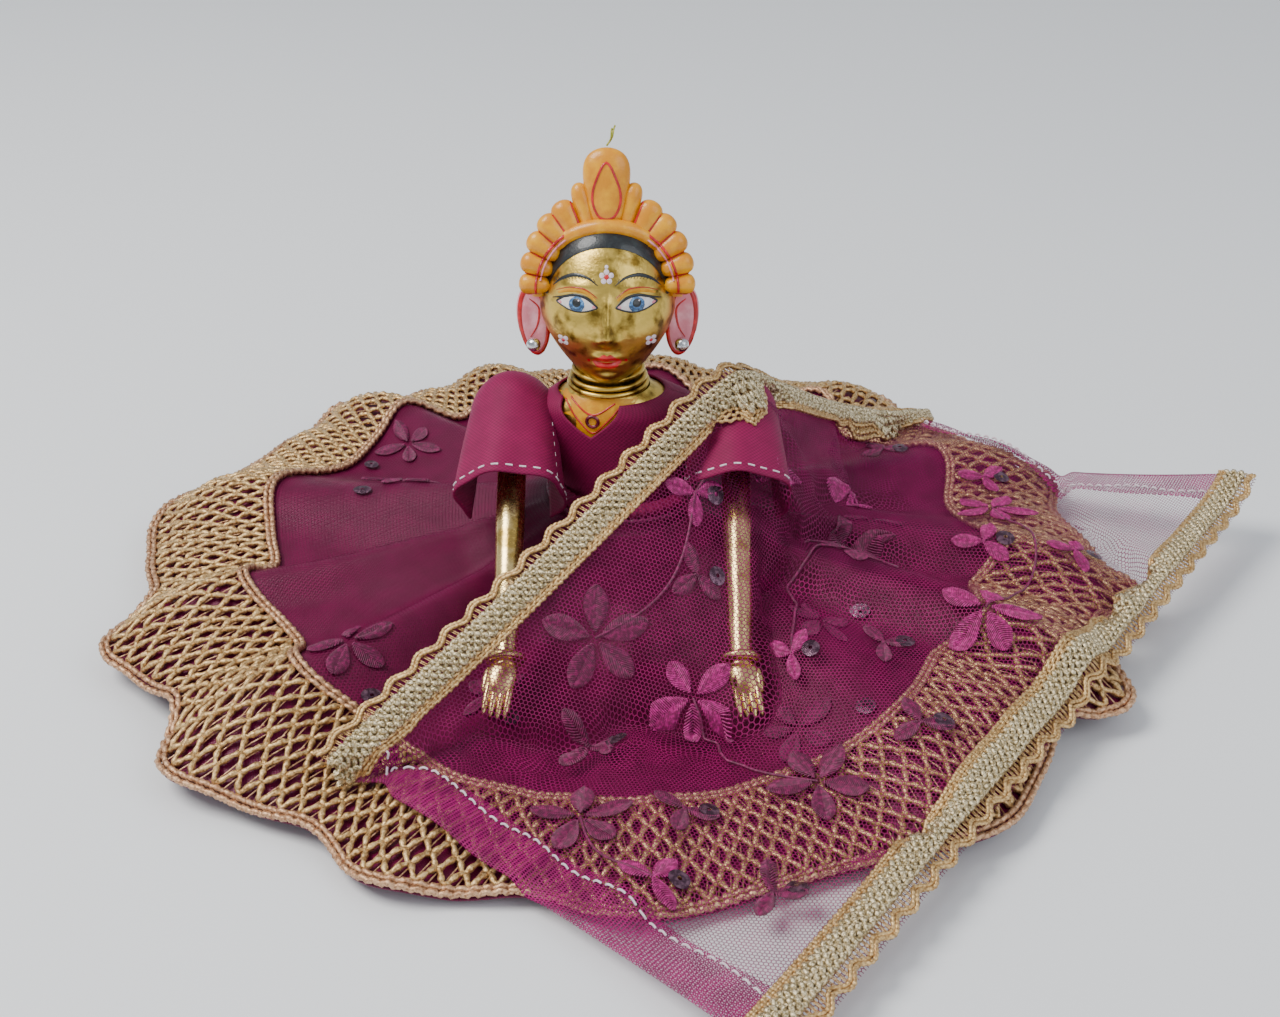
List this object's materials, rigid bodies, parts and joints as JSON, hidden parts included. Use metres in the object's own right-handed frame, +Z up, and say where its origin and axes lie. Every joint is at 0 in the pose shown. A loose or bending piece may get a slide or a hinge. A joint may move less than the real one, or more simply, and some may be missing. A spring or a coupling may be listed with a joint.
{
  "type": "dressed string puppet doll",
  "caption": "Dressed string-puppet doll with a painted brass head and crown, straight brass arms, a gathered skirt edged with gold lace and a net veil.",
  "frame": {"origin": "middle of the underside of the figure's foot, on the table", "axes": "+Z up; the doll faces -Y; +X is the doll's left"},
  "size_m": [0.1755, 0.1765, 0.0732],
  "materials": {
    "brass": "polished, worn and stained",
    "crown_paint": "glossy brushed paint",
    "silver": "polished",
    "thread": "cotton thread",
    "magenta_cloth": "plain weave with a soft sheen",
    "embroidered_net": "hexagonal net with satin-stitch flowers",
    "gold_lace": "metallic crochet lace and braid"
  },
  "bodies": {
    "figure": {"torso": "brass", "neck_peg": "brass", "shoulder_pin_left": "brass", "shoulder_pin_right": "brass", "bodice": "magenta_cloth", "sleeve_left": "magenta_cloth", "sleeve_right": "magenta_cloth", "waistband": "magenta_cloth", "waist_tie": "thread", "skirt_lining": "magenta_cloth", "skirt_net": "embroidered_net", "skirt_border": "gold_lace"},
    "head": {"head": "brass", "crown": "crown_paint", "earring_left": "silver", "earring_right": "silver", "string_stub": "thread"},
    "arm_left": {"arm_left": "brass", "bangle_left": "brass"},
    "arm_right": {"arm_right": "brass", "bangle_right": "brass"},
    "veil": {"veil_net": "embroidered_net", "hem_front": "embroidered_net", "hem_rear": "embroidered_net", "braid_inner": "gold_lace", "braid_outer": "gold_lace"}
  },
  "joints": [
    {"name": "head_turn", "type": "hinge", "parent": "figure", "child": "head", "pos_m": [-0.0022, 0, 0.036], "axis": [0, 0, 1], "range_deg": [-20, 20]},
    {"name": "arm_lift_left", "type": "hinge", "parent": "figure", "child": "arm_left", "pos_m": [0.0159, 0, 0.031], "axis": [-1, 0, 0], "range_deg": [0, 6]},
    {"name": "arm_lift_right", "type": "hinge", "parent": "figure", "child": "arm_right", "pos_m": [-0.0159, 0, 0.031], "axis": [-1, 0, 0], "range_deg": [0, 6]},
    {"name": "veil_lift", "type": "slide", "parent": "figure", "child": "veil", "axis": [0.2996, -0.3196, 0.8989], "range_m": [0, 0.12]}
  ]
}
